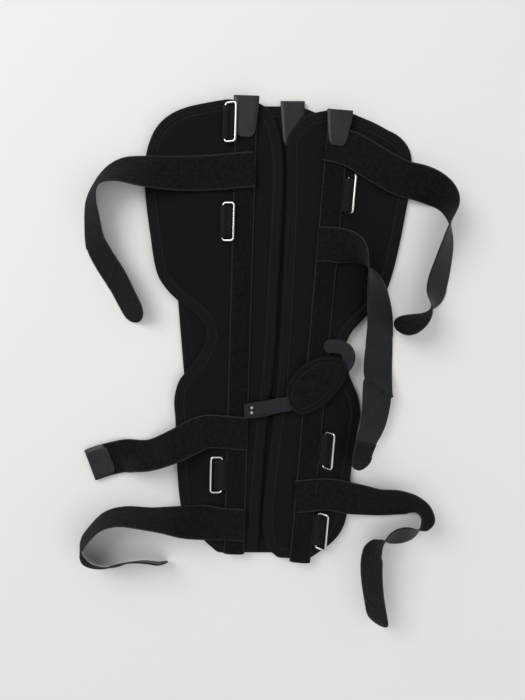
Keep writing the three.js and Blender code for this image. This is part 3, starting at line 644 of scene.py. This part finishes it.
def refine(frames, ease=2):  # more frames between these, with heights smoothed and kept off the floor
    parts = refineSettings["parts"]
    for _ in range(ease):
        heights = [at["centre"].z for at in frames]
        for k in range(2, len(frames) - 2):
            frames[k]["centre"].z = (heights[k - 1] + 2 * heights[k] + heights[k + 1]) / 4
    fine = []
    for k in range((len(frames) - 1) * parts + 1):
        place = k / parts
        at = {key: smoothRead([step[key] for step in frames], place)
              for key in ("centre", "side", "face", "width")}
        at["side"].normalize()
        at["face"] = (at["face"] - at["side"] * at["face"].dot(at["side"])).normalized()
        reach = abs(at["side"].z) * at["width"] / 2 + abs(at["face"].z) * refineSettings["halfStrip"] * mm
        at["centre"].z -= min(at["centre"].z - reach - refineSettings["offFloor"] * mm, 0)
        fine.append(at)
    return withTravel(fine)


def roundEnd(frames, length, fromStart=False):  # turn the cut end of a strip into a half circle
    whole = frames[-1]["travel"] / mm
    for at in frames:
        left = at["travel"] / mm if fromStart else whole - at["travel"] / mm
        if left < length:
            at["width"] = max(math.sqrt(max(1 - (1 - left / length) ** 2, 0)), refineSettings["narrowest"])


def tipStrip(frames, start, end, degrees):  # lean a strip over about its own line, more and more along it
    for k, at in enumerate(frames):
        angle = math.radians(degrees) * smoothStep(at["travel"] / mm, start, end)
        turn = Matrix.Rotation(angle, 3, heading(frames, k))
        at["side"], at["face"] = turn @ at["side"], turn @ at["face"]


def strapSection(width, thickness, parts, rim=0.3):
    half, lift = width / 2, thickness / 2
    top = [(-half + rim + (width - 2 * rim) * k / parts, lift) for k in range(parts + 1)]
    return top + [(half, 0)] + [(a, -f) for a, f in top[::-1]] + [(-half, 0)]


# Straps: loop velour on one face, smooth woven ground on the other. A crease lies across the strap at a
# distance from its sewn end, slanted in degrees, and rises over a short run before it. A tip leans the
# strap over between two distances, by some degrees
strapSettings = {
    "left_thigh_strap": {"flutter": 0.5, "round": 19, "creases": [(254, 30, 0.9, 5), (282, -24, 0.7, 6)]},
    "left_calf_strap": {"flutter": 0.5, "round": 0, "creases": [(76, 16, 0.5, 7)]},
    "left_ankle_strap": {"flutter": 0.4, "round": 19, "creases": [], "tip": (190, 235, -8)},
    "right_thigh_strap": {"flutter": 0.4, "round": 19, "creases": [(72, -20, 0.5, 8)]},
    "right_knee_strap": {"flutter": 0.4, "round": 15, "creases": [(205, -26, -4.2, 5), (152, 20, -0.6, 9)]},
    "right_ankle_strap": {"flutter": 0.4, "round": 19, "creases": [(222, 20, 0.7, 4)]},
}
flutterSettings = {"length": 32, "run": (40, 90)}
creaseFront = 0.8
strapColumns = 14
strapLines = {}


def creaseHeight(creases, travel, across):
    total = 0
    for at, slant, rise, run in creases:
        ahead = travel - at - across * math.tan(math.radians(slant))
        total += rise * (math.exp(ahead / run) if ahead < 0 else math.exp(-(ahead / creaseFront) ** 2))
    return total


def strapFaces(j):  # velour above, with the upper half of the rims, and the smooth ground below
    return 0 if j <= strapColumns or j == 2 * strapColumns + 3 else 1


for node, settings in strapSettings.items():
    side = node.split("_")[0]
    low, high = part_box(node)
    sewn = Vector(((high.x if side == "left" else low.x), (high.y + low.y) / 2, high.z))
    frames = refine(walkStrip(node, sewn, strapThickness, 0.45 * strapWidth))
    for at in frames:
        at["width"] = min(at["width"] / (strapWidth * mm), 1)
        flutter = noise.noise(Vector((at["travel"] / mm / flutterSettings["length"], len(node), 5)))
        free = smoothStep(at["travel"] / mm, *flutterSettings["run"])
        at["centre"] = at["centre"] + at["face"] * max(flutter * settings["flutter"], 0) * mm * free
    if "tip" in settings:
        tipStrip(frames, *settings["tip"])
    if settings["round"]:
        roundEnd(frames, settings["round"])
    strapLines[node] = frames
    section = strapSection(strapWidth, strapThickness, strapColumns)
    band = sweepBand(camel(node), frames, section, [velour, reverse], faceMaterial=strapFaces,
                     relief=lambda travel, across: creaseHeight(settings["creases"], travel, across))
    settle(band, "velour", node)

# Hook patch sewn under the end of the knee strap, on its smooth face
patchSettings = {"length": 34, "over": 0.5, "thickness": 0.8, "width": 36.6, "stitchInset": 1.5,
                 "stitchDrop": 0.7, "stitchSteps": 6}


def kneePatch():
    frames = strapLines["right_knee_strap"]
    start = frames[-1]["travel"] - patchSettings["length"] * mm
    lift = -(strapThickness + patchSettings["thickness"]) / 2 - patchSettings["over"]
    patch = [{**at, "centre": at["centre"] + at["face"] * lift * mm} for at in frames if at["travel"] > start]
    section = strapSection(patchSettings["width"], patchSettings["thickness"], 8)
    settle(sweepBand("kneeStrapHookPatch", withTravel(patch), section, [velour]), "velour")
    first = patch[1]
    half = patchSettings["width"] / 2 - patchSettings["stitchInset"]
    steps = patchSettings["stitchSteps"]
    drop = first["face"] * patchSettings["stitchDrop"]
    tabSeams.append([first["centre"] + (first["side"] * half * k / steps - drop) * mm
                     for k in range(-steps, steps + 1)])


kneePatch()
print("straps done")

# Elastic of the kneecap pad, and the bend of its pad end down under the rim, as shares of the pad's length
elasticSettings = {
    "thickness": 1.2, "narrowest": 12.8,
    "left": {"width": 16, "round": 0,
             "bend": [(-0.43, -0.268, -0.2), (-0.38, -0.258, -0.8), (-0.335, -0.248, -1.4)]},
    "right": {"width": 15, "round": 7,
              "bend": [(0.447, 0.34, -0.8), (0.424, 0.285, -1.8), (0.385, 0.235, -2.8)]},
}


def padElastic(side, node, piece):
    settings = elasticSettings[side]
    low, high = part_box("knee_pad")
    thickness = elasticSettings["thickness"]
    frames = walkStrip(node, low.lerp(high, 0.5), thickness, elasticSettings["narrowest"])
    base = frames[-1]["centre"].z
    for x, y, drop in settings["bend"]:
        centre = Vector((padSettings["x"] + shiftX + x * padSettings["length"],
                         padSettings["y"] + shiftY + y * padSettings["length"], base / mm + drop)) * mm
        ahead = centre - frames[-1]["centre"]
        across = Vector((-ahead.y, ahead.x, 0)).normalized()
        if across.dot(frames[-1]["side"]) < 0:
            across = -across
        frames.append({"centre": centre, "side": across, "face": ahead.normalized().cross(across),
                       "width": frames[-1]["width"]})
    frames = refine(frames, ease=0)
    for at in frames:
        at["width"] = min(at["width"] / (settings["width"] * mm), 1)
        at["face"] = at["face"] if at["face"].z > 0 else -at["face"]
    if settings["round"]:
        roundEnd(frames, settings["round"], fromStart=True)
    section = strapSection(settings["width"], thickness, 8)
    settle(sweepBand(piece, frames, section, [elasticCloth]), "elastic", node)


# The pad's outline round its middle, as shares of its length and width, and the profiles of its body and rim:
# (distance in from the outline, height) in mm
padSettings = {
    "x": 60, "y": -86, "length": 80, "width": 47, "turn": 41,
    "outline": [(-0.4, 0.33), (-0.05, 0.58), (0.25, 0.49), (0.47, 0.2), (0.49, -0.14), (0.32, -0.38),
                (-0.03, -0.48), (-0.32, -0.4), (-0.47, -0.2)],
    "spine": (-0.2, 0.2, 0.04), "reach": 24, "perPoint": 12, "fill": 0.8,
    "body": [(4.2, 0.4), (4.2, 2.6), (5.2, 4.4), (6.6, 4.7), (7.6, 4.4), (9, 5.6), (11.5, 7.3), (14.5, 8.3),
             (17.5, 8.8), (20.5, 9)],
    "rim": [(0.2, 2.2), (0.1, 3), (0.8, 3.9), (2, 4.35), (3.4, 4.5), (4.6, 4.3), (5, 3.6), (4.9, 0.6),
            (3, 0.2), (1, 0.8)],
    "sag": 2, "sagRun": (13, 34), "wobble": 0.4, "wobbleRun": (4, 12), "wobbleTurns": 1.7, "wobbleDepth": 9,
    "stitchAt": 7.6, "stitchHeight": 4.7, "stitchSteps": 120,
}
for side in ("left", "right"):
    padElastic(side, "knee_pad_elastic_" + side, "padElastic" + side.title())

# Vinyl tabs over the pocket tops. The path is (down the pocket, height over it) in shares of the tab's length
# and drop, from behind the panel's edge
tabSettings = {
    "path": [(-0.13, -1), (-0.155, -0.6), (-0.145, -0.25), (-0.11, -0.05), (-0.04, 0), (0.1, 0), (0.3, 0),
             (0.5, 0), (0.7, 0), (0.82, 0), (0.9, 0), (0.95, 0), (0.985, 0), (1, 0)],
    "width": 25, "round": 9, "tip": 0.42, "perStep": 3,
    "left": {"top": 502, "length": 38, "drop": 7.9, "outward": 0, "taper": (1.1, 0.84)},
    "right": {"top": 498.5, "length": 33, "drop": 7.9, "outward": 0, "taper": (1.1, 0.78)},
    "back": {"top": 503, "length": 42, "drop": 4.6, "outward": 36, "taper": (1.06, 0.86)},
}


def vinylTab(side, node):
    settings = tabSettings[side]
    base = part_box(node)[1].z / mm - panel["vinyl"]
    frames = []
    path = [Vector(step) for step in tabSettings["path"]]
    count = (len(path) - 1) * tabSettings["perStep"]
    for k in range(count + 1):
        step = smoothRead(path, k / tabSettings["perStep"])
        p = onPanel(side, settings["outward"], settings["top"] - step.x * settings["length"])
        height = base + panel["vinyl"] / 2 + step.y * settings["drop"]
        frames.append({"centre": Vector((p.x, p.y, height)) * mm, "share": step.x})
    across = (onPanel(side, 1, 0) - onPanel(side, 0, 0)).normalized() * places[side]["outward"]
    for k, at in enumerate(frames):
        ahead = heading(frames, k)
        at["side"] = Vector((across.x, across.y, 0))
        at["face"] = ahead.normalized().cross(-at["side"]) * (-1 if ahead.y > 0 else 1)
        if at["face"].z < -0.2:
            at["face"] = -at["face"]
        left = min((1 - at["share"]) * settings["length"], tabSettings["round"]) / tabSettings["round"]
        wide, narrow = settings["taper"]
        taper = wide + (narrow - wide) * smoothStep(at["share"], -0.1, 1)
        curve = math.sqrt(max(1 - (1 - left) ** 2, 0))
        at["width"] = taper * (tabSettings["tip"] + (1 - tabSettings["tip"]) * curve)
    section = strapSection(tabSettings["width"], panel["vinyl"], 6)
    settle(sweepBand(camel(node), withTravel(frames), section, [vinyl]), "vinyl", node)


for side in ("left", "right", "back"):
    vinylTab(side, side + "_vinyl_tab")
print("vinyl tabs done")

# Wire rings and the webbing loops that hold them
ringSettings = {
    "long": 38, "window": 10, "wire": 2.5, "corner": 3, "around": 14, "perCorner": 6,
    "bar": 0.3, "farBar": {"left_top_ring": 0.78, "left_thigh_ring": 0.78},
}
loopSettings = {"length": 13, "thickness": 1, "half": 17.6, "reach": 12.74, "start": 0.2, "clear": 0.3,
                "bulge": (1.9, 5), "closed": 0.15, "foldIn": 0.6, "steps": 14, "foldSteps": 8}
ringWires = []  # each wire at rest, so that no thread is sewn where it swings down


def bentWire(node, joint):
    centre = Vector(joint["pos_m"])
    up = Vector(joint["axis"]).normalized()
    verts = [vert.co for vert in frame["nodes"][node].data.vertices]
    reach = sum(verts, Vector()) / len(verts) - centre
    reach = (reach - up * reach.dot(up)).normalized()
    normal = reach.cross(up)
    wide = ringSettings["window"] + ringSettings["wire"]
    half = (ringSettings["long"] + ringSettings["wire"]) / 2
    corner, parts, around = ringSettings["corner"], ringSettings["perCorner"], ringSettings["around"]
    frames = []
    for cx, cy, start in ((wide - corner, half - corner, 90), (wide - corner, corner - half, 0),
                          (corner, corner - half, -90), (corner, half - corner, -180)):
        for k in range(parts + 1):
            angle = math.radians(start - 90 / parts * k)
            bend = reach * math.cos(angle) + up * math.sin(angle)
            frames.append({"centre": centre + (reach * cx + up * cy + bend * corner) * mm,
                           "side": bend, "face": normal})
    radius = ringSettings["wire"] / 2
    section = [(radius * math.cos(k * math.tau / around), radius * math.sin(k * math.tau / around))
               for k in range(around)]
    wire = sweepBand(camel(node) + "Wire", withTravel(frames), section, [nickel], closed=True)
    tree = BVHTree.FromPolygons([vert.co for vert in wire.data.vertices],
                                [face.vertices for face in wire.data.polygons])
    ringWires.append({"tree": tree, "centre": centre, "axis": up, "limits": joint["range_deg"]})
    settle(wire, "nickel", node, body=node)


def webbingLoop(node, joint):
    side = node.split("_")[0]
    centre = Vector(joint["pos_m"]) / mm
    up = Vector(joint["axis"]).normalized()
    if up.y < 0:
        up = -up
    out = Vector((up.y, -up.x, 0)) * places[side]["outward"]
    bar = ringSettings["farBar"].get(node, ringSettings["bar"]) * loopSettings["length"]
    root = centre - out * bar
    clear, closed = loopSettings["clear"], loopSettings["closed"]
    low = centre.z - ringSettings["wire"] / 2 - clear - loopSettings["thickness"] / 2

    def rise(at):  # the upper run's height over the lower one: it bulges over the wire
        near = 1 - smoothStep(abs(at - bar), *loopSettings["bulge"])
        return loopSettings["thickness"] + closed + near * (ringSettings["wire"] + 2 * clear - closed)

    tip = loopSettings["reach"] - loopSettings["foldIn"] - rise(loopSettings["reach"] - 1) / 2
    start, count, turns = loopSettings["start"], loopSettings["steps"], loopSettings["foldSteps"]
    steps = [start + (tip - start) * k / count for k in range(count + 1)]
    path = [(at, low) for at in steps]
    bow = rise(tip) / 2
    for k in range(1, turns):
        angle = math.pi * (k / turns - 0.5)
        path.append((tip + bow * math.cos(angle), low + bow + bow * math.sin(angle)))
    path += [(at, low + rise(at)) for at in steps[::-1]]
    frames = [{"centre": Vector((root.x, root.y, z)) * mm + out * at * mm, "side": up} for at, z in path]
    for k, step in enumerate(frames):
        step["face"] = heading(frames, k).normalized().cross(up)
    section = strapSection(2 * loopSettings["half"], loopSettings["thickness"], 6)
    band = sweepBand(camel(node) + "Webbing", withTravel(frames), section, [webbing])
    settle(band, "webbing", node + "_loop")


for joint in frame["joints"]:
    bentWire(joint["child"], joint)
    webbingLoop(joint["child"], joint)
print("rings done")

# Folded hook tab at the end of the calf strap
hookSettings = {
    "path": [(0.4, 0), (0.2, 0), (0, 0), (-0.06, 0.2), (-0.085, 0.5), (-0.06, 0.8), (0, 1), (0.2, 1),
             (0.4, 0.97), (0.6, 0.95), (0.8, 0.95), (0.92, 0.95), (1, 0.95)],
    "length": 24, "width": 37.2, "clear": 4.04, "past": 1.44, "perStep": 3,
    "cornerFrom": 0.82, "cornerIn": 0.3,
}


def hookTab():
    end = strapLines["left_calf_strap"][-1]
    out = end["side"].cross(Vector((0, 0, 1)))
    out = Vector((out.x, out.y, 0)).normalized()
    path = [Vector(step) for step in hookSettings["path"]]
    frames = []
    count = (len(path) - 1) * hookSettings["perStep"]
    side = Vector((-out.y, out.x, 0))
    for k in range(count + 1):
        step = smoothRead(path, k / hookSettings["perStep"])
        centre = end["centre"] + out * (hookSettings["past"] - step.x * hookSettings["length"]) * mm
        centre.z = (panel["vinyl"] / 2 + step.y * hookSettings["clear"]) * mm
        cut = hookSettings["cornerIn"] * smoothStep(step.x, hookSettings["cornerFrom"], 1)
        frames.append({"centre": centre, "side": side, "width": 1 - cut})
    for k, at in enumerate(frames):
        at["face"] = heading(frames, k).normalized().cross(side)
    section = strapSection(hookSettings["width"], panel["vinyl"], 6)
    settle(sweepBand("calfHookTab", withTravel(frames), section, [vinyl]), "vinyl", "left_calf_hook_tab")


hookTab()

# Kneecap pad: velour over shaped foam, with a bound rim and a seam just inside it
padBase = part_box("knee_pad")[0].z / mm
padOutline = [Vector((x * padSettings["length"], y * padSettings["width"]))
              for x, y in padSettings["outline"]]


def padPoint(share, shrink):  # a plan point at a share of the way round, drawn in towards the pad's spine
    edge = smoothRead(padOutline, share * len(padOutline) % len(padOutline), closed=True)
    low, high, across = padSettings["spine"]
    spine = Vector((min(max(edge.x, low * padSettings["length"]), high * padSettings["length"]),
                    across * padSettings["width"]))
    p = edge.lerp(spine, shrink / padSettings["reach"])
    turn = math.radians(padSettings["turn"])
    return Vector((padSettings["x"] + shiftX + p.x * math.cos(turn) - p.y * math.sin(turn),
                   padSettings["y"] + shiftY + p.x * math.sin(turn) + p.y * math.cos(turn)))


def padHeight(p, height):
    outward = toPanel("right", p)[0]
    sag = padSettings["sag"] * smoothStep(abs(outward), *padSettings["sagRun"])
    return Vector((p.x, p.y, padBase + height - sag)) * mm


def padSurface(piece, profile, closed, material, slot, node):
    count = len(profile)
    rows = count if closed else count - 1
    turns = padSettings["perPoint"] * len(padOutline)
    bm = gridMesh(turns, rows)

    def place(s, t):
        shrink, height = profile[round(t * rows) % count]
        share = round(s * turns) % turns / turns
        angle = share * math.tau
        way = Vector((math.cos(angle), math.sin(angle), shrink / padSettings["wobbleDepth"]))
        wobble = noise.noise(way * padSettings["wobbleTurns"]) * padSettings["wobble"]
        free = smoothStep(shrink, *padSettings["wobbleRun"])
        return padHeight(padPoint(share, shrink), height + wobble * free)

    def stripUv(s, t):
        return s * 0.2, t * 0.02

    layGrid(bm, place, stripUv)
    closeMesh(bm, weld=1e-5, fill=True)
    for face in bm.faces:  # one even strip map, so no selvedge shows on the pad
        for loop in face.loops:
            loop[bm.loops.layers.uv["strip"]].uv = (loop.vert.co.x, 0)
    pad = newPiece(piece, bm, [material])
    settle(pad, slot, node)
    return pad


pad = padSurface("kneecapPad", padSettings["body"], False, velour, "velour", "knee_pad")
padSurface("kneecapPadRim", padSettings["rim"], True, tape, "binding", "knee_pad_binding")
padSteps = padSettings["stitchSteps"]
padSeams.append([padHeight(padPoint(k / padSteps, padSettings["stitchAt"]), padSettings["stitchHeight"])
                 for k in range(padSteps + 1)])
print("kneecap pad done")

# Sewing: one short thread between each two needle holes
stitchSettings = {"pitch": 3, "length": 2.2, "width": 0.34, "first": 0.6, "clear": 1.9}


def underRing(point):  # whether a ring's wire would lie on this point at either end of its swing
    for ring in ringWires:
        for angle in ring["limits"]:
            back = Matrix.Rotation(math.radians(-angle), 3, ring["axis"]) @ (point - ring["centre"])
            if ring["tree"].find_nearest(ring["centre"] + back, stitchSettings["clear"] * mm)[0]:
                return True
    return False


def sewLines(piece, lines, slot):
    bm = bmesh.new()
    half, width = stitchSettings["length"] / 2, stitchSettings["width"]
    for line in lines:
        travelled, due = 0, stitchSettings["first"]
        for a, b in zip(line, line[1:]):
            span = (b - a).length / mm
            while span and due < travelled + span:
                middle = a.lerp(b, (due - travelled) / span)
                turn = (b - a).to_track_quat("X", "Z")
                size = Vector((half, width, width)) * mm
                if not underRing(middle):
                    bmesh.ops.create_icosphere(bm, subdivisions=1, radius=1,
                                               matrix=Matrix.LocRotScale(middle, turn, size))
                due += stitchSettings["pitch"]
            travelled += span
    settle(newPiece(piece, bm, [thread]), slot)


sewLines("panelStitching", panelSeams, "binding")
sewLines("padStitching", padSeams, "binding")
sewLines("kneeStrapStitching", tabSeams, "velour")
print("stitching done")

for place in ("upper", "lower"):
    rivet = frame["nodes"]["knee_pad_rivet_" + place]
    rivet.data.materials.clear()
    rivet.data.materials.append(nickel)

# Room: a plain pale floor and soft daylight from the upper left
roomSettings = {"floor": "#f3f0ed", "halfSide": 4, "below": 0.3, "sky": "#f1f2f3", "skyStrength": 0.59}
lightSettings = {
    "windowLight": {"place": (-1.3, 1.2, 1.7), "size": 1.6, "power": 26.4},
    "fillLight": {"place": (1.2, -0.6, 1.8), "size": 2.2, "power": 8.8},
}


def plainFloor():
    material, tree = newMaterial("paleFloor")
    finishMaterial(tree, linear(roomSettings["floor"]), {"Roughness": 0.9})
    bm = bmesh.new()
    bmesh.ops.create_grid(bm, x_segments=1, y_segments=1, size=roomSettings["halfSide"])
    floor = newPiece("floor", bm, [material], smooth=False)
    floor.location.z = -roomSettings["below"] * mm


def softLight(name, place, size, power):
    light = bpy.data.lights.new(name, "AREA")
    light.shape, light.size, light.energy = "DISK", size, power
    lamp = bpy.data.objects.new(name, light)
    lamp.location = place
    lamp.rotation_euler = (Vector((0, 0, 0)) - Vector(place)).to_track_quat("-Z", "Y").to_euler()
    bpy.context.scene.collection.objects.link(lamp)


plainFloor()
for name, settings in lightSettings.items():
    softLight(name, **settings)
world = bpy.data.worlds.new("room")
world.use_nodes = True
world.node_tree.nodes["Background"].inputs["Color"].default_value = linear(roomSettings["sky"])
world.node_tree.nodes["Background"].inputs["Strength"].default_value = roomSettings["skyStrength"]
bpy.context.scene.world = world
bpy.context.scene.view_settings.view_transform = "Standard"

# Camera: straight above, tipped a little towards the foot, as in the photograph
cameraSettings = {"height": 0.62, "tilt": 4.4, "halfView": 0.641}
view = bpy.data.cameras.new("camera")
view.sensor_fit, view.sensor_height = "VERTICAL", 36
view.lens = view.sensor_height / 2 / cameraSettings["halfView"]
view.clip_start = 0.01
camera = bpy.data.objects.new("camera", view)
camera.location = (shiftX * mm, shiftY * mm, cameraSettings["height"])
camera.rotation_euler = (math.radians(-cameraSettings["tilt"]), 0, 0)
bpy.context.scene.collection.objects.link(camera)
bpy.context.scene.camera = camera
print("room and camera done")
